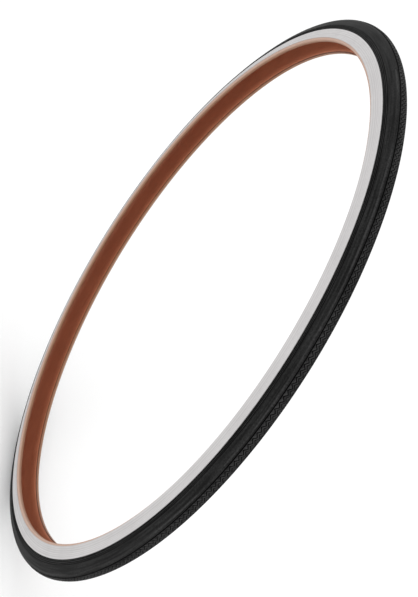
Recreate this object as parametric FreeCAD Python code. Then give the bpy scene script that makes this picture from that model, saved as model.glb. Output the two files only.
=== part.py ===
import FreeCAD, Part
import math
import os

# Wired-on clincher bicycle tyre, off its rim and at rest.
# Every piece is a ring about the wheel's axle line, +Y, with the wheel's centre at the origin
# and +Z up. A section is drawn in the (Y, Z) plane, where Z is the radius, and then turned
# a full circle. All lengths are in millimetres and all angles in degrees.

# ---- driving sizes: overall ----
BEAD_SEAT_DIAMETER = 622.0      # rim shoulder that the tyre seats on
SECTION_HEIGHT = 34.5           # from the bead seat to the crest of the tread
BEAD_GAP = 19.4                 # opening between the two beads, at the casing's inside faces
WHITE_WALL_HEIGHT = 15.8        # from the bead seat to the black tread's lower edge

# ---- driving sizes: layers ----
PLY_THICKNESS = 0.45            # one rubberised cord ply
BREAKER_THICKNESS = 0.5
TREAD_THICKNESS = 3.2           # at the crest
CHAFER_THICKNESS = 0.4
SIDEWALL_THICKNESS = 0.6        # rubber over the chafer

# ---- driving sizes: bead ----
WIRE_DIAMETER = 0.95
WIRE_GAP = 0.05                 # rubber between two turns of the wire
WIRE_ROWS = 2
BEAD_COVER = 0.27               # rubber outside the corner turns of the wire
BEAD_LAND_WIDTH = 3.2           # flat base that sits on the rim shoulder

# ---- driving sizes: how the plies run ----
CASING_CROWN_ARC = 52.0         # turn of the casing's tighter crown bend
TURN_UP_LEAN = 35.0             # lean of the turned-up plies beside the bead filler
TURN_UP_BEND = 4.0              # radius where the turned-up plies meet the wall again
WALL_MARGIN = 1.5               # straight wall left above that bend
OUTER_PLY_STOP = 10.0           # turn of that bend where the outer ply stops short of its own wall
INNER_PLY_TURN_UP = 5.0         # run of the inner ply past that bend
CHAFER_TOE_TURN = 42.0          # where the chafer starts, round the bead from its inside face
CHAFER_RUN = 2.4                # run of the chafer up the leaning turn-up
SIDEWALL_HEEL_TURN = 30.0       # how far the sidewall rubber reaches down round the heel

# ---- driving sizes: tread ----
BREAKER_HALF_WIDTH = 7.5        # along the casing, from the middle
TREAD_CROWN_ARC = 55.0          # turn of the tread's tighter crown bend
GROOVE_DISTANCE = 4.3           # from the middle of the tread to each main groove
GROOVE_WIDTH = 1.2
GROOVE_DEPTH = 1.0
TREAD_RIB_COUNT = 3             # fine ribs on each black flank
TREAD_RIB_PITCH = 1.7
TREAD_RIB_START = 1.3           # from the white wall to the first rib
LINE_WIDTH = 0.5                # every fine moulded line or rib
LINE_RISE = 0.22
FIT_LINE_SETBACK = 0.8          # line above the rim, from the end of the straight wall
EDGE_LINE_SETBACK = 0.8         # line beside the black, from the top of the white wall

SECTORS = 8                     # of each ring, so that all its circles are divided alike
SECTOR_TURN = 360.0 / SECTORS

# ---- sizes that follow ----
SEAT_RADIUS = BEAD_SEAT_DIAMETER / 2
CASING_THICKNESS = 2 * PLY_THICKNESS
WALL_Y = BEAD_GAP / 2 + CASING_THICKNESS
WIRE_PITCH = WIRE_DIAMETER + WIRE_GAP
WIRE_CORNER = math.hypot(1, 1) * WIRE_PITCH * (WIRE_ROWS - 1) / 2
BUNDLE_RADIUS = WIRE_CORNER + WIRE_DIAMETER / 2 + BEAD_COVER
BEAD_Y = WALL_Y + BUNDLE_RADIUS
BEAD_Z = SEAT_RADIUS + CHAFER_THICKNESS + CASING_THICKNESS + BUNDLE_RADIUS
SKIN = CASING_THICKNESS + CHAFER_THICKNESS + SIDEWALL_THICKNESS
CREST_RADIUS = SEAT_RADIUS + SECTION_HEIGHT
CASING_CREST = CREST_RADIUS - TREAD_THICKNESS - BREAKER_THICKNESS


def sin(angle):
    return math.sin(math.radians(angle))


def cos(angle):
    return math.cos(math.radians(angle))


def solve_two_bends(across, down, first_turn, last_turn):
    """Radii of two joined arcs that start level and end across and down from there."""
    a = sin(first_turn)
    b = sin(last_turn) - sin(first_turn)
    c = 1 - cos(first_turn)
    d = cos(first_turn) - cos(last_turn)
    span = a * d - b * c
    return (across * d - b * down) / span, (a * down - c * across) / span


def vector(y, z):
    return FreeCAD.Vector(0, y, z)


# A path starts at a point with a heading: 0 runs outwards along +Y and 90 runs down to the axle.
# Its normal points away from the tube's space. A step is ("line", length) or
# ("arc", radius, turn, marks), where a positive turn bends towards the tube's space.
# An offset moves the whole path along its normal, so layers that share a path fit exactly.
# Marks are the fine moulded lines and grooves of the outside skin: each one is
# (distance from the arc's start, width, rise), and a groove's rise is negative.

def heading_vector(heading):
    return vector(cos(heading), -sin(heading))


def normal_vector(heading):
    return vector(sin(heading), cos(heading))


def arc_edge(centre, reach, first, last):
    """Arc from one heading to another, where reach is its radius along the path's normal."""
    headings = [first, (first + last) / 2, last]
    return Part.Arc(*[centre + normal_vector(heading) * reach for heading in headings]).toShape()


def marked_arc(centre, reach, first, last, marks, side):
    """Arc with its moulded marks, which stand out along the normal times side."""
    edges = []
    start = first
    for distance, width, rise in sorted(marks):
        middle = first + math.degrees(distance / reach)
        half = math.degrees(width / reach) / 2
        foot, end = [centre + normal_vector(middle + turn) * reach for turn in (-half, half)]
        lift = normal_vector(middle) * side * rise
        edges.append(arc_edge(centre, reach, start, middle - half))
        if rise > 0:
            edges.append(Part.Arc(foot, centre + normal_vector(middle) * reach + lift, end).toShape())
        else:
            corners = [foot, foot + lift, end + lift, end]
            edges += Part.makePolygon(corners).Edges
        start = middle + half
    return edges + [arc_edge(centre, reach, start, last)]


def trace(point, heading, steps, offset, mark_side=0):
    """Edges of a path at an offset, with its two ends. Marks show only where a side is given."""
    here = point + normal_vector(heading) * offset
    first = here
    edges = []
    for kind, size, *rest in steps:
        if kind == "line":
            there = here + heading_vector(heading) * size
            edges.append(Part.makeLine(here, there))
        else:
            turn = rest[0]
            marks = rest[1] if mark_side and len(rest) > 1 else []
            reach = math.copysign(size, turn) + offset
            centre = here - normal_vector(heading) * reach
            edges += marked_arc(centre, reach, heading, heading + turn, marks, mark_side)
            heading += turn
            there = centre + normal_vector(heading) * reach
        here = there
    return edges, first, here


def walk(point, heading, steps):
    """The point and heading at the end of a path."""
    end = trace(point, heading, steps, 0)[2]
    return end, heading + sum(step[2] for step in steps if step[0] == "arc")


def face_of(edges):
    return Part.Face(Part.Wire(Part.__sortEdges__(edges)))


def mirrored(shape):
    return shape.mirror(vector(0, 0), vector(1, 0))


def strip(point, heading, steps, low, high):
    """Flat layer on one side, between two offsets of a path. The low face carries any marks."""
    inner, inner_start, inner_end = trace(point, heading, steps, low, -1)
    outer, outer_start, outer_end = trace(point, heading, steps, high)
    caps = [Part.makeLine(inner_start, outer_start), Part.makeLine(inner_end, outer_end)]
    return face_of(inner + outer + caps)


def layer_across(inner, outer):
    """Flat layer from side to side, between two traced paths that both start at the crown."""
    edges = inner[0] + outer[0] + [Part.makeLine(inner[2], outer[2])]
    return face_of(edges + [mirrored(edge) for edge in edges])


def disc(point, radius):
    return face_of([Part.makeCircle(radius, point, FreeCAD.Vector(1, 0, 0))])


# ---- the casing's path: the outside face of the outer ply ----

TURN_UP_SLOPE = (BUNDLE_RADIUS * (1 + cos(TURN_UP_LEAN))
                 - TURN_UP_BEND * (1 - cos(TURN_UP_LEAN))) / sin(TURN_UP_LEAN)
TURN_UP_RISE = ((BUNDLE_RADIUS + TURN_UP_BEND) * sin(TURN_UP_LEAN)
                + TURN_UP_SLOPE * cos(TURN_UP_LEAN))
WALL_LENGTH = TURN_UP_RISE + WALL_MARGIN
CROWN_RADIUS, SHOULDER_RADIUS = solve_two_bends(
    WALL_Y, CASING_CREST - BEAD_Z - WALL_LENGTH, CASING_CROWN_ARC, 90.0)
CASING_START = vector(0, CASING_CREST)
CROWN_STEP = ("arc", CROWN_RADIUS, CASING_CROWN_ARC)
SHOULDER_STEP = ("arc", SHOULDER_RADIUS, 90.0 - CASING_CROWN_ARC)
WALL_STEP = ("line", WALL_LENGTH)
WRAP_STEP = ("arc", BUNDLE_RADIUS, -180.0 - TURN_UP_LEAN)
SLOPE_STEP = ("line", TURN_UP_SLOPE)
BEND_STEP = ("arc", TURN_UP_BEND, TURN_UP_LEAN)
SHORT_BEND_STEP = ("arc", TURN_UP_BEND, TURN_UP_LEAN - OUTER_PLY_STOP)


def up_the_wall(run):
    """Steps that climb the casing's outside, from the turn-up's bend, for a given run."""
    steps = [("line", min(run, WALL_MARGIN))]
    if run > WALL_MARGIN:
        turn = math.degrees((run - WALL_MARGIN) / SHOULDER_RADIUS)
        steps.append(("arc", SHOULDER_RADIUS, -turn))
    return steps


def round_the_bead(turn):
    """Point and heading on the casing's path, after a turn round the bead."""
    heading = 90.0 - turn
    centre = vector(BEAD_Y, BEAD_Z)
    return centre - normal_vector(heading) * BUNDLE_RADIUS, heading


def make_ply(low, high, last_steps):
    """A cord ply from bead to bead, round each bead and up the outside again."""
    steps = [CROWN_STEP, SHOULDER_STEP, WALL_STEP, WRAP_STEP, SLOPE_STEP] + last_steps
    return layer_across(*[trace(CASING_START, 0, steps, offset) for offset in (low, high)])


def make_wires():
    """Section of each turn of the wire, in a square bundle."""
    places = [(row - (WIRE_ROWS - 1) / 2) * WIRE_PITCH for row in range(WIRE_ROWS)]
    return [disc(vector(BEAD_Y + y, BEAD_Z + z), WIRE_DIAMETER / 2) for y in places for z in places]


def make_bead_rubber(wires):
    """Rubber round the wire and the filler above it, closed by the turned-up ply."""
    above_the_bead = [CROWN_STEP, SHOULDER_STEP, ("line", WALL_MARGIN)]
    start, heading = walk(CASING_START, 0, above_the_bead)
    steps = [("line", TURN_UP_RISE), WRAP_STEP, SLOPE_STEP, BEND_STEP]
    return face_of(trace(start, heading, steps, 0)[0]).cut(wires)


def make_chafer(ply):
    """Woven tape round the bead, with the moulded flat that sits on the rim."""
    start, heading = round_the_bead(CHAFER_TOE_TURN)
    steps = [("arc", BUNDLE_RADIUS, CHAFER_TOE_TURN - 180.0 - TURN_UP_LEAN), ("line", CHAFER_RUN)]
    tape = strip(start, heading, steps, -CASING_THICKNESS - CHAFER_THICKNESS, -CASING_THICKNESS)
    half = vector(BEAD_LAND_WIDTH / 2, 0)
    foot = vector(BEAD_Y, SEAT_RADIUS)
    top = vector(BEAD_Y, BEAD_Z)
    land = face_of(Part.makePolygon([foot - half, foot + half, top + half, top - half, foot - half]).Edges)
    core = disc(vector(BEAD_Y, BEAD_Z), BUNDLE_RADIUS + PLY_THICKNESS)
    return tape.fuse(land).cut([core, ply]).removeSplitter()


def make_breaker():
    """Strip between the casing and the tread, along the crown and a little past it."""
    past_the_crown = BREAKER_HALF_WIDTH - CROWN_RADIUS * math.radians(CASING_CROWN_ARC)
    steps = [CROWN_STEP, ("arc", SHOULDER_RADIUS, math.degrees(past_the_crown / SHOULDER_RADIUS))]
    return layer_across(*[trace(CASING_START, 0, steps, offset) for offset in (0, BREAKER_THICKNESS)])


# ---- the outside skin: white wall below, black tread above ----

CROWN_END = walk(CASING_START, 0, [CROWN_STEP])[0]
EDGE_DROP = (CROWN_END.z - SEAT_RADIUS - WHITE_WALL_HEIGHT) / SHOULDER_RADIUS
EDGE_TURN = math.degrees(math.acos(cos(CASING_CROWN_ARC) - EDGE_DROP)) - CASING_CROWN_ARC
EDGE_STEPS = [CROWN_STEP, ("arc", SHOULDER_RADIUS, EDGE_TURN)]
EDGE_POINT, EDGE_HEADING = walk(CASING_START, 0, EDGE_STEPS)
SKIN_EDGE = EDGE_POINT + normal_vector(EDGE_HEADING) * SKIN
TREAD_CROWN, TREAD_FLANK = solve_two_bends(
    SKIN_EDGE.y, CREST_RADIUS - SKIN_EDGE.z, TREAD_CROWN_ARC, EDGE_HEADING)


def make_sidewall(others):
    """White rubber from the heel up to the black tread's edge, outside plies and chafer."""
    start, heading = round_the_bead(180.0 + TURN_UP_LEAN - SIDEWALL_HEEL_TURN)
    shoulder_turn = 90.0 - EDGE_HEADING
    shoulder_run = math.radians(shoulder_turn) * (SHOULDER_RADIUS + SKIN)
    marks = [(FIT_LINE_SETBACK, LINE_WIDTH, LINE_RISE),
             (shoulder_run - EDGE_LINE_SETBACK, LINE_WIDTH, LINE_RISE)]
    steps = [("arc", BUNDLE_RADIUS, -SIDEWALL_HEEL_TURN), SLOPE_STEP, BEND_STEP,
             ("line", WALL_MARGIN), ("arc", SHOULDER_RADIUS, -shoulder_turn, marks)]
    return largest_face(strip(start, heading, steps, -SKIN, 0).cut(others))


def make_tread(others):
    """Black cap from one white wall to the other, grooved at the crown and ribbed on the flanks."""
    flank_turn = EDGE_HEADING - TREAD_CROWN_ARC
    flank_run = math.radians(flank_turn) * TREAD_FLANK
    groove = (GROOVE_DISTANCE, GROOVE_WIDTH, -GROOVE_DEPTH)
    ribs = [(flank_run - TREAD_RIB_START - TREAD_RIB_PITCH * index, LINE_WIDTH, LINE_RISE)
            for index in range(TREAD_RIB_COUNT)]
    skin = trace(vector(0, CREST_RADIUS), 0, [("arc", TREAD_CROWN, TREAD_CROWN_ARC, [groove]),
                                              ("arc", TREAD_FLANK, flank_turn, ribs)], 0, 1)
    casing = trace(CASING_START, 0, EDGE_STEPS, 0)
    return largest_face(layer_across(casing, skin).cut(others))


def largest_face(shape):
    return max(shape.Faces, key=lambda face: face.Area)


def ring(face):
    """Solid of one flat section, turned about the axle line in equal sectors joined end to end."""
    sector = face.revolve(vector(0, 0), vector(1, 0), SECTOR_TURN)
    turns = [SECTOR_TURN * index for index in range(1, SECTORS)]
    others = [sector.copy().rotate(vector(0, 0), vector(1, 0), turn) for turn in turns]
    return sector.fuse(others).Solids[0]


def save(name, faces):
    """Turn each flat section into a solid and write them as one node."""
    solids = [ring(face) for face in faces]
    assert all(solid.isValid() and solid.Volume > 0 for solid in solids), name
    whole = solids[0] if len(solids) == 1 else Part.makeCompound(solids)
    whole.exportStep(os.path.join("parts", name + ".step"))


def main():
    os.makedirs("parts", exist_ok=True)
    outer_ply = make_ply(-PLY_THICKNESS, 0, [SHORT_BEND_STEP])
    inner_ply = make_ply(-CASING_THICKNESS, -PLY_THICKNESS, [BEND_STEP] + up_the_wall(INNER_PLY_TURN_UP))
    breaker = make_breaker()
    wires = make_wires()
    chafer = make_chafer(inner_ply)
    sidewall = make_sidewall([inner_ply, outer_ply, chafer])
    save("tread_cap", make_tread([breaker, inner_ply, outer_ply]).Faces)
    save("breaker_strip", breaker.Faces)
    save("casing_ply_outer", outer_ply.Faces)
    save("casing_ply_inner", inner_ply.Faces)
    pieces = {"sidewall": sidewall.Faces,
              "chafer": chafer.Faces,
              "bead_rubber": make_bead_rubber(wires).Faces,
              "bead_wire": wires}
    for name, faces in pieces.items():
        save(name + "_left", faces)
        save(name + "_right", [mirrored(face) for face in faces])


main()
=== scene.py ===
import math

import bpy
import numpy as np
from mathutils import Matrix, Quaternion, Vector


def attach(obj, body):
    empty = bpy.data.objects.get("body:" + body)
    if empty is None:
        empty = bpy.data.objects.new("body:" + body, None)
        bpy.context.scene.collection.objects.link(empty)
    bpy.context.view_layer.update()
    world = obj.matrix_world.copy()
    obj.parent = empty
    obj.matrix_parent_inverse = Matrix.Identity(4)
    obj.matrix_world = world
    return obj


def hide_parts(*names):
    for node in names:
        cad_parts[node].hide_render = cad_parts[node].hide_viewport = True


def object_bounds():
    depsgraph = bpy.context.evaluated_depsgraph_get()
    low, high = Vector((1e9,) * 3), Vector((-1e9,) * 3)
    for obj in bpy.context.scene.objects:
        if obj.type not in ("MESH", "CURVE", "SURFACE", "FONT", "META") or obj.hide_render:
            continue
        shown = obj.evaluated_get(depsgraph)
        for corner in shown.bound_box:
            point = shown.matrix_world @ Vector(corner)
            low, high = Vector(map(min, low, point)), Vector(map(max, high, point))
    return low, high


# A wired-on bicycle tyre: black moulded tread, white sidewalls, brown cord casing and tan bead tape.
# The CAD rings give every size. The pieces made here lie on the same section lines, with the
# finer relief, weave and moulding of the real rubber and cord.

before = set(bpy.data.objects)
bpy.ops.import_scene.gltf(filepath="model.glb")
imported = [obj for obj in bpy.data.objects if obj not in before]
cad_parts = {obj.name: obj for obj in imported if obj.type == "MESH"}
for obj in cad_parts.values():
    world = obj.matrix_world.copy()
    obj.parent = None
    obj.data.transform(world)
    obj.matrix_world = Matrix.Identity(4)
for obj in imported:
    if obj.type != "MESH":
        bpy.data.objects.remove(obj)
cad_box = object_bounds()

# ---- the tyre's section, in millimetres and degrees ----
SEAT_RADIUS = 311.0
CREST_RADIUS = 345.5
BEAD_GAP = 19.4
PLY = 0.45
BREAKER = 0.5
TREAD = 3.2
TAPE = 0.4
WHITE_RUBBER = 0.6
WIRE_BUNDLE = 1.452
WALL_MARGIN = 1.5
CASING_CROWN_ARC = 52.0
TURN_UP_LEAN = 35.0
TURN_UP_BEND = 4.0
INNER_PLY_TURN_UP = 5.0
WHITE_WALL_HEIGHT = 15.8
TREAD_CROWN_ARC = 55.0
TAPE_TOE_TURN = 42.0
TAPE_RUN = 2.4
WHITE_HEEL_TURN = 30.0
BEAD_LAND_WIDTH = 3.2
BREAKER_HALF_WIDTH = 7.5        # along the casing, from the middle

# ---- moulded detail ----
GROOVE_DISTANCE = 4.3
GROOVE_WIDTH = 1.2
GROOVE_DEPTH = 1.0
ZIGZAG_COUNT = 320              # zigzags round the tyre, 6.8 mm each
ZIGZAG_REACH = 1.5              # to either side of its middle line
ZIGZAG_SPACING = 2.9
ZIGZAG_WIDTH = 1.4
ZIGZAG_DEPTH = 0.9
SHOULDER_RIB = 7.3              # from the middle of the tread to the soft rib on each shoulder
SHOULDER_RIB_WIDTH = 3.0
SHOULDER_RIB_RISE = 0.15
FLANK_RIBS = 3
FLANK_RIB_PITCH = 1.7
FLANK_RIB_START = 1.3
EDGE_VALLEY_WIDTH = 1.05        # beside the white
VALLEY_WIDTH = 1.0              # between two fine ribs
VALLEY_DEPTH = 0.35
LINE_WIDTH = 0.5
LINE_RISE = 0.22
FIT_LINE_SETBACK = 0.8
EDGE_LINE_SETBACK = 0.8
MM = 0.001
WAVE_BAND = math.pi / 10        # Scale that gives a Wave node one band a unit
FINE = 0.02                     # spacing of a section line's own samples
SKIM = 0.02                     # thin gap that keeps two layers' faces apart
TREAD_ROWS = 0.9                # widest plain step across each section
WHITE_ROWS = 0.45
TAPE_ROWS = 0.1
CASING_ROWS = 0.9
TAPE_FRINGE = 0.09              # unevenness of the tape's raw edge
TAPE_FRINGE_REACH = 0.4         # how far in it dies away
RING_COLUMNS = 360
PLAIN_CREASE = 40.0             # faces that meet more sharply than this show an edge
TREAD_CREASE = 25.0
TAPE_CREASE = 30.0
PLAIN_BLOOM = 0.35              # share of pale bloom on a plain face
ZIGZAG_TOP_BLOOM_AND_HIGHLIGHT = 1.0              # on the tops between the zigzags: bloom, raised to full as painted highlight
BAKE_ROWS = 8                   # the ring's unrolled strip is folded into this many rows

CASING = 2 * PLY
SKIN = CASING + TAPE + WHITE_RUBBER
WALL_Y = BEAD_GAP / 2 + CASING
BEAD_CENTRE = np.array([WALL_Y + WIRE_BUNDLE, SEAT_RADIUS + TAPE + CASING + WIRE_BUNDLE])
CASING_CREST = CREST_RADIUS - TREAD - BREAKER


def sin(angle):
    return math.sin(math.radians(angle))


def cos(angle):
    return math.cos(math.radians(angle))


# ---- section lines ----
# A line starts at a point (across, radius) with a heading, where 0 runs outwards and 90 runs
# down to the axle. A step is (size, turn): a straight run where the turn is 0, otherwise an arc.

def normals(headings):
    turns = np.radians(headings)
    return np.stack([np.sin(turns), np.cos(turns)], axis=-1)


def section_line(point, heading, steps):
    """Close samples along a line: places, headings and distances from its start."""
    places = [np.array([point], float)]
    headings = [np.array([heading], float)]
    runs = [np.zeros(1)]
    for size, turn in steps:
        here, course, run = places[-1][-1], headings[-1][-1], runs[-1][-1]
        length = size * math.radians(abs(turn)) if turn else size
        share = np.linspace(0, 1, int(length / FINE) + 3)[1:]
        courses = course + turn * share
        if turn:
            reach = math.copysign(size, turn)
            placed = here + (normals(courses) - normals(course)) * reach
        else:
            placed = here + np.outer(share, [cos(course), -sin(course)]) * size
        places.append(placed)
        headings.append(courses)
        runs.append(run + length * share)
    return tuple(np.concatenate(part) for part in (places, headings, runs))


def lay(line, distance, rise):
    """Places at given distances along a line, lifted by a rise; a minus distance is the mirror side."""
    places, headings, runs = line
    along = np.abs(distance)
    facing = normals(headings)
    spot = [np.interp(along, runs, places[:, axis]) for axis in (0, 1)]
    lean = [np.interp(along, runs, facing[:, axis]) for axis in (0, 1)]
    side = np.where(distance < 0, -1.0, 1.0)
    return np.stack([(spot[0] + lean[0] * rise) * side, spot[1] + lean[1] * rise], axis=-1)


def two_bends(across, down, first_turn, last_turn):
    """Radii of two joined arcs that start level and end across and down from there."""
    sides = [[sin(first_turn), sin(last_turn) - sin(first_turn)],
             [1 - cos(first_turn), cos(first_turn) - cos(last_turn)]]
    return np.linalg.solve(sides, [across, down])


SLOPE = (WIRE_BUNDLE * (1 + cos(TURN_UP_LEAN)) - TURN_UP_BEND * (1 - cos(TURN_UP_LEAN))) / sin(TURN_UP_LEAN)
RISE = (WIRE_BUNDLE + TURN_UP_BEND) * sin(TURN_UP_LEAN) + SLOPE * cos(TURN_UP_LEAN)
WALL = RISE + WALL_MARGIN
CROWN_RADIUS, SHOULDER_RADIUS = two_bends(WALL_Y, CASING_CREST - BEAD_CENTRE[1] - WALL,
                                          CASING_CROWN_ARC, 90.0)
CASING_STEPS = [(CROWN_RADIUS, CASING_CROWN_ARC), (SHOULDER_RADIUS, 90.0 - CASING_CROWN_ARC), (WALL, 0)]
WRAP_STEPS = [(WIRE_BUNDLE, -180.0 - TURN_UP_LEAN), (SLOPE, 0), (TURN_UP_BEND, TURN_UP_LEAN)]
CROWN_END = CASING_CREST - CROWN_RADIUS * (1 - cos(CASING_CROWN_ARC))
EDGE_DROP = (CROWN_END - SEAT_RADIUS - WHITE_WALL_HEIGHT) / SHOULDER_RADIUS
EDGE_HEADING = math.degrees(math.acos(cos(CASING_CROWN_ARC) - EDGE_DROP))
EDGE_LINE = section_line((0, CASING_CREST), 0, [(CROWN_RADIUS, CASING_CROWN_ARC),
                                                (SHOULDER_RADIUS, EDGE_HEADING - CASING_CROWN_ARC)])
SKIN_EDGE = EDGE_LINE[0][-1] + normals(EDGE_HEADING) * SKIN
TREAD_CROWN, TREAD_FLANK = two_bends(SKIN_EDGE[0], CREST_RADIUS - SKIN_EDGE[1], TREAD_CROWN_ARC, EDGE_HEADING)


def bead_line(turn, steps):
    """A line that starts part way round the bead, from its inside face."""
    heading = 90.0 - turn
    return section_line(BEAD_CENTRE - normals(heading) * WIRE_BUNDLE, heading, steps)


def mark(middle, width, rise):
    """Distances and rises of a moulded line with a rounded top, or of a groove with a flat floor."""
    if rise > 0:
        shares = np.array([-0.5, -0.3, 0.0, 0.3, 0.5])
        return list(zip(middle + shares * width, rise * (1 - (2 * shares) ** 2)))
    shares = np.array([-0.5, -0.36, 0.36, 0.5])
    return list(zip(middle + shares * width, [0.0, rise, rise, 0.0]))


def filled(rows, start, end, spacing):
    """Adds plain rows wherever the marks leave a gap wider than the spacing."""
    rows = sorted([(start, 0.0), (end, 0.0)] + rows)
    full = [rows[0]]
    for distance, rise in rows[1:]:
        last = full[-1][0]
        extra = int((distance - last) / spacing)
        full += [(last + (distance - last) * k / (extra + 1), 0.0) for k in range(1, extra + 1)]
        full.append((distance, rise))
    return np.array(full)


# ---- rings ----

def ring(name, section, material, replaced, crease=PLAIN_CREASE, bloom_and_painted_light=None, side=1):
    """A closed ring from a section given at each column: (columns, points, across and radius).

    Bloom, from 0 in a groove to 1 on raised rubber, tells the material how pale each point is: a thin real
    bloom on the plain face, painted shade in grooves and painted highlight on raised rubber.
    A side of -1 makes the mirror ring, on the right of the tyre."""
    columns, points = section.shape[:2]
    angles = np.arange(columns) * 2 * math.pi / columns
    across, radius = section[..., 0] * side, section[..., 1]
    spots = np.stack([radius * np.sin(angles)[:, None], across,
                      radius * np.cos(angles)[:, None]], axis=-1) * MM
    column, point = np.meshgrid(np.arange(columns), np.arange(points), indexing="ij")
    ahead = (column + 1) % columns
    after = (point + 1) % points
    corners = np.stack([column * points + point, ahead * points + point,
                        ahead * points + after, column * points + after], axis=-1).reshape(-1, 4)[:, ::side]
    mesh = bpy.data.meshes.new(name)
    mesh.from_pydata(spots.reshape(-1, 3), [], corners.tolist())
    # the bloom attribute carries painted highlight and painted shade as well as the real bloom
    if bloom_and_painted_light is not None:
        mesh.attributes.new("bloom_and_painted_light", "FLOAT", "POINT").data.foreach_set("value", np.tile(bloom_and_painted_light, columns))

    steps = np.linalg.norm(np.roll(section[0], -1, axis=0) - section[0], axis=1)
    travel = np.concatenate([[0.0], np.cumsum(steps)])
    right = np.stack([column, column + 1, column + 1, column], axis=-1)[..., ::side].ravel()
    low = np.stack([point, point, point + 1, point + 1], axis=-1)[..., ::side].ravel()
    along = right * (2 * math.pi * CREST_RADIUS / columns)
    mesh.uv_layers.new(name="strip").data.foreach_set("uv", np.stack([along, travel[low]], axis=-1).ravel())
    fold = np.repeat(column.reshape(-1) * BAKE_ROWS // columns, 4)
    share = right * BAKE_ROWS / columns - fold
    height = (fold + 0.02 + 0.96 * travel[low] / travel[-1]) / BAKE_ROWS
    mesh.uv_layers.new(name="OFBake").data.foreach_set("uv", np.stack([share, height], axis=-1).ravel())

    mesh.materials.append(material)
    mesh.validate()
    mesh.shade_smooth()
    mesh.set_sharp_from_angle(angle=math.radians(crease))
    piece = bpy.data.objects.new(name, mesh)
    bpy.context.scene.collection.objects.link(piece)
    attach(piece, "root")
    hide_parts(replaced)
    return piece


def wobble(columns, waves, seed):
    """A gentle unevenness round the ring, from a few waves of random phase, between -1 and 1."""
    angles = np.arange(columns) * 2 * math.pi / columns
    phases = np.random.default_rng(seed).uniform(0, 2 * math.pi, len(waves))
    return sum(np.sin(angles * wave + phase) for wave, phase in zip(waves, phases)) / len(waves)


def columns_of(section):
    """The same section at every column of a ring."""
    return np.broadcast_to(section, (RING_COLUMNS,) + section.shape)


def bloom_and_painted_light_of(rise):
    """Painted highlight and shade: raised rubber is painted paler than the plain face, and the floor of a
    groove is painted dark.
    """
    return np.clip(PLAIN_BLOOM + np.asarray(rise) * np.where(np.asarray(rise) > 0, 2.5, 1.0), 0.0, 1.0)


def tread_section():
    """Black cap: zigzag centre between two grooves, plain shoulders, fine ribs beside the white."""
    line = section_line((0, CREST_RADIUS), 0, [(TREAD_CROWN, TREAD_CROWN_ARC),
                                               (TREAD_FLANK, EDGE_HEADING - TREAD_CROWN_ARC)])
    edge = line[2][-1]
    marks = mark(GROOVE_DISTANCE, GROOVE_WIDTH, -GROOVE_DEPTH)
    for index in range(FLANK_RIBS):
        rib = edge - FLANK_RIB_START - FLANK_RIB_PITCH * index
        marks += mark(rib, LINE_WIDTH, LINE_RISE)
        marks += mark(rib - FLANK_RIB_PITCH / 2, VALLEY_WIDTH, -VALLEY_DEPTH)
    marks += mark(SHOULDER_RIB, SHOULDER_RIB_WIDTH, SHOULDER_RIB_RISE)
    inside = GROOVE_DISTANCE - GROOVE_WIDTH / 2
    marks += [(edge - EDGE_VALLEY_WIDTH, 0.0), (edge - EDGE_VALLEY_WIDTH * 0.9, -VALLEY_DEPTH)]
    flank = filled(marks, inside, edge, TREAD_ROWS)
    flank = flank[flank[:, 0] > inside - FINE]
    flank[-2:, 1] = -VALLEY_DEPTH
    zigzags = []
    for middle in (-ZIGZAG_SPACING / 2, ZIGZAG_SPACING / 2):
        zigzags += mark(middle, ZIGZAG_WIDTH, -ZIGZAG_DEPTH)
    centre = np.array(sorted(zigzags + [(0.0, 0.0)]))

    rows = np.concatenate([flank[::-1] * [-1, 1], centre, flank])
    swing = np.concatenate([np.zeros(len(flank)), np.ones(len(centre)), np.zeros(len(flank))])
    columns = 2 * ZIGZAG_COUNT
    side = np.where(np.arange(columns) % 2, 1.0, -1.0)[:, None]
    distance = rows[:, 0] + side * swing * ZIGZAG_REACH
    rise = np.broadcast_to(rows[:, 1], distance.shape)
    outside = lay(line, distance, rise)

    under = np.linspace(-EDGE_LINE[2][-1], EDGE_LINE[2][-1], 21)[::-1]
    lift = np.where(np.abs(under) < BREAKER_HALF_WIDTH, BREAKER + SKIM, SKIM)
    underside = np.broadcast_to(lay(EDGE_LINE, under, lift), (columns, len(under), 2))
    bloom_and_painted_light = bloom_and_painted_light_of(rows[:, 1])
    # painted highlight: the tops between the zigzags are painted palest
    bloom_and_painted_light[(swing > 0) & (rows[:, 1] == 0)] = ZIGZAG_TOP_BLOOM_AND_HIGHLIGHT
    return np.concatenate([outside, underside], axis=1), np.concatenate([bloom_and_painted_light, np.zeros(len(under))])


def white_section():
    """White rubber from the heel of the bead up to the black, with its two moulded lines."""
    shoulder = 90.0 - EDGE_HEADING
    steps = [(WIRE_BUNDLE, -WHITE_HEEL_TURN), (SLOPE, 0), (TURN_UP_BEND, TURN_UP_LEAN),
             (WALL_MARGIN, 0), (SHOULDER_RADIUS, -shoulder)]
    line = bead_line(180.0 + TURN_UP_LEAN - WHITE_HEEL_TURN, steps)
    end = line[2][-1]
    shrink = SHOULDER_RADIUS / (SHOULDER_RADIUS + SKIN)
    curve = end - SHOULDER_RADIUS * math.radians(shoulder)
    marks = mark(curve + FIT_LINE_SETBACK * shrink, LINE_WIDTH, LINE_RISE)
    marks += mark(end - EDGE_LINE_SETBACK * shrink, LINE_WIDTH, LINE_RISE)
    rows = filled(marks, 0.0, end, WHITE_ROWS)
    outside = lay(line, rows[:, 0], -SKIN - rows[:, 1])
    back = np.linspace(end, 0, 24)
    inside = lay(line, back, -SKIN + WHITE_RUBBER - 0.05)
    # the raised lines' values here become the painted highlight on them
    bloom_and_painted_light = bloom_and_painted_light_of(np.concatenate([rows[:, 1], np.zeros(len(back))]))
    return columns_of(np.concatenate([outside, inside])), bloom_and_painted_light


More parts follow.
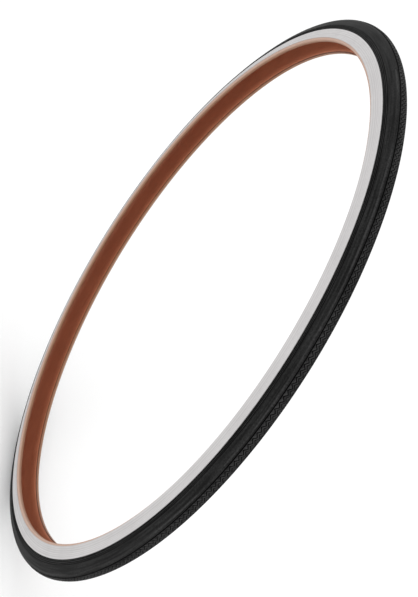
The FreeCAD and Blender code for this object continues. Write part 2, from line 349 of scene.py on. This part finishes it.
def tape_section():
    """Woven tape round the bead, with the flat that the rim shoulder presses in it."""
    line = bead_line(TAPE_TOE_TURN, [(WIRE_BUNDLE, TAPE_TOE_TURN - 180.0 - TURN_UP_LEAN), (TAPE_RUN, 0)])
    outer = WIRE_BUNDLE + CASING + TAPE
    wrap = np.radians(180.0 + TURN_UP_LEAN - TAPE_TOE_TURN) * WIRE_BUNDLE
    distance = np.concatenate([np.arange(0, wrap, TAPE_ROWS), np.linspace(wrap, line[2][-1], 8)])
    round_the_bead = np.radians(np.interp(distance, line[2], line[1]))
    half = BEAD_LAND_WIDTH / 2
    base = outer / np.maximum(np.cos(round_the_bead), 0.1)
    flank = half / np.maximum(np.abs(np.sin(round_the_bead)), 0.1)
    proud = np.maximum(np.minimum(base, flank) - outer, 0.0) * (distance < wrap)
    fringe = wobble(RING_COLUMNS, (7, 19, 43, 61, 87), 4)[:, None] * TAPE_FRINGE
    toe = fringe * np.exp(-distance / TAPE_FRINGE_REACH)
    outside = lay(line, distance + np.maximum(toe, -distance), -CASING - TAPE - proud)
    back = np.linspace(line[2][-1], 0, 26)
    inside = columns_of(lay(line, back, -CASING - 0.01))
    return np.concatenate([outside, inside], axis=1)


def casing_section():
    """Inner cord ply: the brown inside of the tyre, round both beads and up the outside again."""
    climb = math.degrees((INNER_PLY_TURN_UP - WALL_MARGIN) / SHOULDER_RADIUS)
    line = section_line((0, CASING_CREST), 0, CASING_STEPS + WRAP_STEPS + [(WALL_MARGIN, 0),
                                                                          (SHOULDER_RADIUS, -climb)])
    end = line[2][-1]
    distance = np.concatenate([np.arange(-end, 0, CASING_ROWS), np.arange(0, end, CASING_ROWS), [end]])
    inside = lay(line, distance[::-1], -CASING)
    outside = lay(line, distance, -PLY - SKIM)
    return columns_of(np.concatenate([outside, inside]))


# ---- materials ----

SHARE, LOW, HIGH = 0, 6, 7      # a colour Mix node's inputs


def paint(code):
    """An sRGB hex colour as linear RGBA."""
    parts = [int(code[index:index + 2], 16) / 255 for index in (0, 2, 4)]
    return [c / 12.92 if c <= 0.04045 else ((c + 0.055) / 1.055) ** 2.4 for c in parts] + [1.0]


def add(tree, kind, links=None, **settings):
    """Adds a node. Settings go on the node itself; links give each input a value, a socket or a node."""
    node = tree.nodes.new("ShaderNode" + kind)
    for name, value in settings.items():
        setattr(node, name, value)
    for name, value in (links or {}).items():
        if isinstance(value, bpy.types.Node):
            value = next(socket for socket in value.outputs if socket.enabled)
        if isinstance(value, bpy.types.NodeSocket):
            tree.links.new(value, node.inputs[name])
        else:
            node.inputs[name].default_value = value
    return node


def blank(name):
    """A new material and its empty node tree."""
    material = bpy.data.materials.new(name)
    material.use_nodes = True
    material.node_tree.nodes.clear()
    return material, material.node_tree


def moulded_tread_rubber():
    # Carbon black rubber, vulcanised in a steel mould: near black and satin. Rubber that flowed
    # along the mould leaves soft streaks round the tyre, 2.4 mm apart, and a thin greyish bloom
    # lies on it. On top of the bloom, whatever stands proud is painted paler, as painted highlight,
    # and the floors of the grooves near black, as painted shade. The mould's 0.3 mm grain is drawn
    # at 1.6 mm so that it shows.
    material, tree = blank("moulded_tread_rubber")
    place = add(tree, "TexCoord").outputs["Object"]
    cloud = add(tree, "TexNoise", {"Vector": place, "Scale": 1 / (38.0 * MM), "Detail": 5.0,
                                   "Roughness": 0.6})
    fine = add(tree, "TexNoise", {"Vector": place, "Scale": 1 / (1.6 * MM), "Detail": 2.0})
    strip = add(tree, "UVMap", uv_map="strip")
    flow = add(tree, "Mapping", {"Vector": strip, "Scale": (1 / 60.0, 1 / 2.4, 1.0)})
    streaks = add(tree, "TexNoise", {"Vector": flow, "Scale": 1.0, "Detail": 3.0})
    bloom_and_painted_light = add(tree, "Attribute", attribute_name="bloom_and_painted_light").outputs["Fac"]
    patchy = add(tree, "MapRange", {"Value": streaks, "From Min": 0.38, "From Max": 0.62, "To Min": 0.55,
                                    "To Max": 1.4})
    grained = add(tree, "Math", {0: fine, 1: 2.0}, operation="MULTIPLY")
    uneven = add(tree, "Math", {0: patchy, 1: grained}, operation="MULTIPLY")
    # painted highlight on raised rubber and painted shade in the grooves come in with the bloom share
    bloom_and_painted_light_share = add(tree, "Math", {0: bloom_and_painted_light, 1: uneven}, operation="MULTIPLY")
    grey = add(tree, "Mix", {SHARE: cloud, LOW: paint("303030"), HIGH: paint("404040")}, data_type="RGBA")
    shade = add(tree, "Mix", {SHARE: bloom_and_painted_light_share, LOW: paint("020202"), HIGH: grey}, data_type="RGBA")
    rough = add(tree, "Math", {0: fine, 1: 0.16, 2: 0.42}, operation="MULTIPLY_ADD")
    height = add(tree, "Math", {0: streaks, 1: 0.8, 2: fine}, operation="MULTIPLY_ADD")
    bump = add(tree, "Bump", {"Height": height, "Distance": 0.12 * MM, "Strength": 1.0})
    shader = add(tree, "BsdfPrincipled", {"Base Color": shade, "Roughness": rough, "IOR": 1.52,
                                          "Specular IOR Level": 0.03, "Normal": bump})
    add(tree, "OutputMaterial", {"Surface": shader})
    return material


def moulded_white_rubber():
    # White pigmented rubber moulded on the sidewall: chalky, with a faint handling greyness, and
    # fine rings from the turned mould. Real rings are 0.8 mm apart; they are drawn at 2.2 mm so
    # that they show. The two raised moulded lines are painted paler, as painted highlight.
    material, tree = blank("moulded_white_rubber")
    place = add(tree, "TexCoord").outputs["Object"]
    cloud = add(tree, "TexNoise", {"Vector": place, "Scale": 1 / (24.0 * MM), "Detail": 5.0,
                                   "Roughness": 0.6})
    fine = add(tree, "TexNoise", {"Vector": place, "Scale": 1 / (0.9 * MM), "Detail": 2.0})
    strip = add(tree, "SeparateXYZ", {0: add(tree, "UVMap", uv_map="strip")})
    turned = add(tree, "Math", {0: strip.outputs["Y"], 1: 2 * math.pi / 2.2}, operation="MULTIPLY")
    wave = add(tree, "Math", {0: turned}, operation="SINE")
    rings = add(tree, "Math", {0: wave, 1: 0.5, 2: 0.5}, operation="MULTIPLY_ADD")
    greyed = add(tree, "Math", {0: rings, 1: 0.3}, operation="MULTIPLY")
    bloom_and_painted_light = add(tree, "Attribute", attribute_name="bloom_and_painted_light").outputs["Fac"]
    # painted highlight: the raised moulded lines are painted paler
    proud = add(tree, "MapRange", {"Value": bloom_and_painted_light, "From Min": 0.45, "From Max": 0.85, "To Max": 0.6})
    clean = add(tree, "Mix", {SHARE: cloud, LOW: paint("b6b4b4"), HIGH: paint("cac8c8")}, data_type="RGBA")
    ringed = add(tree, "Mix", {SHARE: greyed, LOW: clean, HIGH: paint("918e8e")}, data_type="RGBA")
    shade = add(tree, "Mix", {SHARE: proud, LOW: ringed, HIGH: paint("dcdada")}, data_type="RGBA")
    rough = add(tree, "Math", {0: fine, 1: 0.15, 2: 0.45}, operation="MULTIPLY_ADD")
    height = add(tree, "Math", {0: fine, 1: 0.4, 2: rings}, operation="MULTIPLY_ADD")
    bump = add(tree, "Bump", {"Height": height, "Distance": 0.08 * MM, "Strength": 1.0})
    shader = add(tree, "BsdfPrincipled", {"Base Color": shade, "Roughness": rough, "IOR": 1.5,
                                          "Specular IOR Level": 0.4, "Normal": bump})
    add(tree, "OutputMaterial", {"Surface": shader})
    return material


def skimmed_cord_casing():
    # Bias-laid nylon cords skimmed with brown rubber: parallel cords show through as fine ridges
    # at 45 degrees. Real cords lie 0.5 mm apart; they are drawn at 1.5 mm so that they show.
    material, tree = blank("skimmed_cord_casing")
    place = add(tree, "TexCoord").outputs["Object"]
    cloud = add(tree, "TexNoise", {"Vector": place, "Scale": 1 / (30.0 * MM), "Detail": 5.0,
                                   "Roughness": 0.6})
    fine = add(tree, "TexNoise", {"Vector": place, "Scale": 1 / (1.1 * MM), "Detail": 3.0})
    strip = add(tree, "SeparateXYZ", {0: add(tree, "UVMap", uv_map="strip")})
    bias = add(tree, "Math", {0: strip.outputs["X"], 1: strip.outputs["Y"]}, operation="ADD")
    turned = add(tree, "Math", {0: bias, 1: 2 * math.pi / 1.5}, operation="MULTIPLY")
    wave = add(tree, "Math", {0: turned}, operation="SINE")
    cords = add(tree, "Math", {0: wave, 1: 0.5, 2: 0.5}, operation="MULTIPLY_ADD")
    showing = add(tree, "Math", {0: cords, 1: 0.3}, operation="MULTIPLY")
    skim = add(tree, "Mix", {SHARE: cloud, LOW: paint("98583f"), HIGH: paint("b57053")}, data_type="RGBA")
    shade = add(tree, "Mix", {SHARE: showing, LOW: skim, HIGH: paint("c0835f")}, data_type="RGBA")
    rough = add(tree, "Math", {0: fine, 1: 0.2, 2: 0.5}, operation="MULTIPLY_ADD")
    height = add(tree, "Math", {0: fine, 1: 0.5, 2: cords}, operation="MULTIPLY_ADD")
    bump = add(tree, "Bump", {"Height": height, "Distance": 0.09 * MM, "Strength": 1.0})
    shader = add(tree, "BsdfPrincipled", {"Base Color": shade, "Roughness": rough, "IOR": 1.5,
                                          "Specular IOR Level": 0.3, "Normal": bump})
    add(tree, "OutputMaterial", {"Surface": shader})
    return material


def woven_bead_tape():
    # Plain-woven cotton tape wiped with rubber: matt tan, its threads standing a little proud.
    # The casing's brown rubber has flowed over its first 1.5 mm, beside the toe of the bead, and is painted
    # darker there than the casing, as painted shade at the toe; white rubber has bled into the threads at the
    # heel.
    # Threads of 0.5 mm are drawn at 1.1 mm so that they show.
    material, tree = blank("woven_bead_tape")
    place = add(tree, "TexCoord").outputs["Object"]
    cloud = add(tree, "TexNoise", {"Vector": place, "Scale": 1 / (16.0 * MM), "Detail": 5.0,
                                   "Roughness": 0.6})
    fine = add(tree, "TexNoise", {"Vector": place, "Scale": 1 / (0.8 * MM), "Detail": 3.0})
    strip = add(tree, "SeparateXYZ", {0: add(tree, "UVMap", uv_map="strip")})
    across = strip.outputs["Y"]
    warp_turn = add(tree, "Math", {0: strip.outputs["X"], 1: 2 * math.pi / 1.1}, operation="MULTIPLY")
    weft_turn = add(tree, "Math", {0: across, 1: 2 * math.pi / 1.1}, operation="MULTIPLY")
    warp = add(tree, "Math", {0: warp_turn}, operation="SINE")
    weft = add(tree, "Math", {0: weft_turn}, operation="SINE")
    crossing = add(tree, "Math", {0: warp, 1: weft}, operation="MULTIPLY")
    over = add(tree, "Math", {0: crossing, 1: 0.5, 2: 0.5}, operation="MULTIPLY_ADD")
    tan = add(tree, "Mix", {SHARE: cloud, LOW: paint("845a41"), HIGH: paint("987054")}, data_type="RGBA")
    chalky = add(tree, "MapRange", {"Value": across, "From Min": 2.8, "From Max": 5.4, "To Max": 0.85})
    bled = add(tree, "Mix", {SHARE: chalky, LOW: tan, HIGH: paint("d0b2a2")}, data_type="RGBA")
    lit = add(tree, "Math", {0: over, 1: 0.5, 2: 0.5}, operation="MULTIPLY_ADD")
    woven = add(tree, "Mix", {SHARE: lit, LOW: paint("7d5842"), HIGH: bled}, data_type="RGBA")
    # painted shade: beside the toe the tape is painted a dark brown, darker than the casing's rubber
    edge = add(tree, "Math", {0: cloud, 1: 1.2, 2: across}, operation="MULTIPLY_ADD")
    past_toe_shade = add(tree, "MapRange", {"Value": edge, "From Min": 1.8, "From Max": 2.2})
    shade = add(tree, "Mix", {SHARE: past_toe_shade, LOW: paint("5e3019"), HIGH: woven}, data_type="RGBA")
    rough = add(tree, "Math", {0: fine, 1: 0.15, 2: 0.68}, operation="MULTIPLY_ADD")
    height = add(tree, "Math", {0: fine, 1: 0.4, 2: over}, operation="MULTIPLY_ADD")
    bump = add(tree, "Bump", {"Height": height, "Distance": 0.12 * MM, "Strength": 1.0})
    shader = add(tree, "BsdfPrincipled", {"Base Color": shade, "Roughness": rough, "IOR": 1.48,
                                          "Specular IOR Level": 0.3, "Sheen Weight": 0.1, "Normal": bump})
    add(tree, "OutputMaterial", {"Surface": shader})
    return material


def calendered_cord_ply():
    # The covered cord ply, calendered in dark rubber: cord ridges under a matt skim. Real cords lie
    # 0.5 mm apart; they are drawn at 1.2 mm so that they show.
    material, tree = blank("calendered_cord_ply")
    place = add(tree, "TexCoord").outputs["Object"]
    cords = add(tree, "TexWave", {"Vector": place, "Scale": WAVE_BAND / (1.2 * MM), "Distortion": 0.4},
                bands_direction="DIAGONAL").outputs["Fac"]
    fine = add(tree, "TexNoise", {"Vector": place, "Scale": 1 / (1.1 * MM), "Detail": 3.0})
    shade = add(tree, "Mix", {SHARE: cords, LOW: paint("4a3226"), HIGH: paint("6e4a35")}, data_type="RGBA")
    rough = add(tree, "Math", {0: fine, 1: 0.2, 2: 0.6}, operation="MULTIPLY_ADD")
    bump = add(tree, "Bump", {"Height": cords, "Distance": 0.1 * MM, "Strength": 1.0})
    shader = add(tree, "BsdfPrincipled", {"Base Color": shade, "Roughness": rough, "IOR": 1.5,
                                          "Normal": bump})
    add(tree, "OutputMaterial", {"Surface": shader})
    return material


def woven_nylon_breaker():
    # Open-woven nylon breaker under the tread: pale grey threads, 1.5 mm apart, half sunk in rubber.
    material, tree = blank("woven_nylon_breaker")
    place = add(tree, "TexCoord").outputs["Object"]
    warp = add(tree, "TexWave", {"Vector": place, "Scale": WAVE_BAND / (1.5 * MM)},
               bands_direction="Y").outputs["Fac"]
    weft = add(tree, "TexWave", {"Vector": place, "Scale": WAVE_BAND / (1.5 * MM)},
               bands_direction="Z").outputs["Fac"]
    weave = add(tree, "Math", {0: warp, 1: weft}, operation="MAXIMUM")
    fine = add(tree, "TexNoise", {"Vector": place, "Scale": 1 / (0.8 * MM), "Detail": 3.0})
    shade = add(tree, "Mix", {SHARE: weave, LOW: paint("3a3a3c"), HIGH: paint("8b8a86")}, data_type="RGBA")
    rough = add(tree, "Math", {0: fine, 1: 0.2, 2: 0.55}, operation="MULTIPLY_ADD")
    bump = add(tree, "Bump", {"Height": weave, "Distance": 0.15 * MM, "Strength": 1.0})
    shader = add(tree, "BsdfPrincipled", {"Base Color": shade, "Roughness": rough, "IOR": 1.53,
                                          "Normal": bump})
    add(tree, "OutputMaterial", {"Surface": shader})
    return material


def extruded_bead_rubber():
    # Hard filler rubber, extruded round the wires: dark grey, dull, with an uneven drag to its skin.
    material, tree = blank("extruded_bead_rubber")
    place = add(tree, "TexCoord").outputs["Object"]
    drag = add(tree, "TexNoise", {"Vector": place, "Scale": 1 / (3.0 * MM), "Detail": 4.0})
    shade = add(tree, "Mix", {SHARE: drag, LOW: paint("232120"), HIGH: paint("37332f")}, data_type="RGBA")
    rough = add(tree, "Math", {0: drag, 1: 0.2, 2: 0.5}, operation="MULTIPLY_ADD")
    bump = add(tree, "Bump", {"Height": drag, "Distance": 0.08 * MM, "Strength": 1.0})
    shader = add(tree, "BsdfPrincipled", {"Base Color": shade, "Roughness": rough, "IOR": 1.53,
                                          "Normal": bump})
    add(tree, "OutputMaterial", {"Surface": shader})
    return material


def bronze_washed_steel_wire():
    # Drawn high-carbon steel wire, bronze washed so that rubber bonds: warm metal with a fine
    # unevenness from the die that breaks up its shine.
    material, tree = blank("bronze_washed_steel_wire")
    place = add(tree, "TexCoord").outputs["Object"]
    drawn = add(tree, "TexNoise", {"Vector": place, "Scale": 1 / (1.5 * MM), "Detail": 3.0})
    shade = add(tree, "Mix", {SHARE: drawn, LOW: paint("a07c4c"), HIGH: paint("c9a772")}, data_type="RGBA")
    rough = add(tree, "Math", {0: drawn, 1: 0.2, 2: 0.25}, operation="MULTIPLY_ADD")
    bump = add(tree, "Bump", {"Height": drawn, "Distance": 0.02 * MM, "Strength": 1.0})
    shader = add(tree, "BsdfPrincipled", {"Base Color": shade, "Roughness": rough, "Metallic": 1.0,
                                          "Normal": bump})
    add(tree, "OutputMaterial", {"Surface": shader})
    return material


def matt_studio_paint():
    # Matt white studio paint, rolled: almost even, with a very fine roller stipple.
    material, tree = blank("matt_studio_paint")
    place = add(tree, "TexCoord").outputs["Object"]
    stipple = add(tree, "TexNoise", {"Vector": place, "Scale": 1 / (2.0 * MM), "Detail": 1.0})
    shade = add(tree, "Mix", {SHARE: stipple, LOW: paint("fbfbfb"), HIGH: paint("fdfdfd")}, data_type="RGBA")
    shader = add(tree, "BsdfPrincipled", {"Base Color": shade, "Roughness": 0.95, "Specular IOR Level": 0.1})
    add(tree, "OutputMaterial", {"Surface": shader})
    return material


# ---- the tyre ----

TREAD_SECTION, TREAD_BLOOM_AND_PAINTED_LIGHT = tread_section()
ring("tread", TREAD_SECTION, moulded_tread_rubber(), "tread_cap", TREAD_CREASE,
     TREAD_BLOOM_AND_PAINTED_LIGHT)
WALL_SECTION, WALL_LINE_HIGHLIGHT = white_section()
WHITE = moulded_white_rubber()
TAPE_CLOTH = woven_bead_tape()
for side, hand in ((1, "left"), (-1, "right")):
    ring("white_wall_" + hand, WALL_SECTION, WHITE, "sidewall_" + hand,
         bloom_and_painted_light=WALL_LINE_HIGHLIGHT, side=side)
    ring("bead_tape_" + hand, tape_section(), TAPE_CLOTH, "chafer_" + hand, TAPE_CREASE,
         side=side)
ring("casing_lining", casing_section(), skimmed_cord_casing(), "casing_ply_inner")

HIDDEN = {"casing_ply_outer": calendered_cord_ply(), "breaker_strip": woven_nylon_breaker()}
BEAD_RUBBER = extruded_bead_rubber()
BEAD_WIRE = bronze_washed_steel_wire()
for hand in ("left", "right"):
    HIDDEN["bead_rubber_" + hand] = BEAD_RUBBER
    HIDDEN["bead_wire_" + hand] = BEAD_WIRE
for node_name, finish in HIDDEN.items():
    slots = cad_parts[node_name].data.materials
    slots.clear()
    slots.append(finish)

# ---- floor, light and camera ----

FLOOR_HALF = 9.0
floor_mesh = bpy.data.meshes.new("floor")
floor_level = cad_box[0].z
floor_mesh.from_pydata([(x * FLOOR_HALF, y * FLOOR_HALF, floor_level) for x, y in
                        ((-1, -1), (1, -1), (1, 1), (-1, 1))], [], [(0, 1, 2, 3)])
floor_mesh.materials.append(matt_studio_paint())
floor = bpy.data.objects.new("floor", floor_mesh)
bpy.context.scene.collection.objects.link(floor)

world = bpy.data.worlds.new("studio")
bpy.context.scene.world = world
world.use_nodes = True
world.node_tree.nodes["Background"].inputs["Color"].default_value = (1, 1, 1, 1)
world.node_tree.nodes["Background"].inputs["Strength"].default_value = 1.05


def softbox(name, place, width, height, power):
    """A soft rectangular light that faces the tyre's centre."""
    light = bpy.data.lights.new(name, "AREA")
    light.shape = "RECTANGLE"
    light.size, light.size_y, light.energy = width, height, power
    box = bpy.data.objects.new(name, light)
    box.location = place
    box.rotation_mode = "QUATERNION"
    box.rotation_quaternion = (-Vector(place)).to_track_quat("-Z", "Y")
    bpy.context.scene.collection.objects.link(box)
    return box


softbox("key_light", (1.1, -2.4, 0.7), 1.2, 1.2, 7)
softbox("top_light", (0.6, -0.8, 3.0), 2.4, 2.4, 8)

CAMERA_AIM = Vector((0.00665, 0.02294, 0.00687))
CAMERA_AZIMUTH = 64.503
CAMERA_ELEVATION = 29.423
CAMERA_ROLL = 44.870
CAMERA_DISTANCE = 1.6121
CAMERA_LENS = 88.56

lens = bpy.data.cameras.new("camera")
lens.sensor_fit = "AUTO"
lens.sensor_width = 36.0
lens.lens = CAMERA_LENS
lens.clip_start = 0.05
lens.clip_end = 60.0
camera = bpy.data.objects.new("camera", lens)
back = Vector((sin(CAMERA_AZIMUTH) * cos(CAMERA_ELEVATION),
               -cos(CAMERA_AZIMUTH) * cos(CAMERA_ELEVATION), sin(CAMERA_ELEVATION)))
camera.location = CAMERA_AIM + back * CAMERA_DISTANCE
camera.rotation_mode = "QUATERNION"
roll = Quaternion((0, 0, 1), math.radians(CAMERA_ROLL))
camera.rotation_quaternion = (-back).to_track_quat("-Z", "Y") @ roll
bpy.context.scene.collection.objects.link(camera)
bpy.context.scene.camera = camera

bpy.context.scene.view_settings.view_transform = "Standard"

bpy.context.view_layer.update()
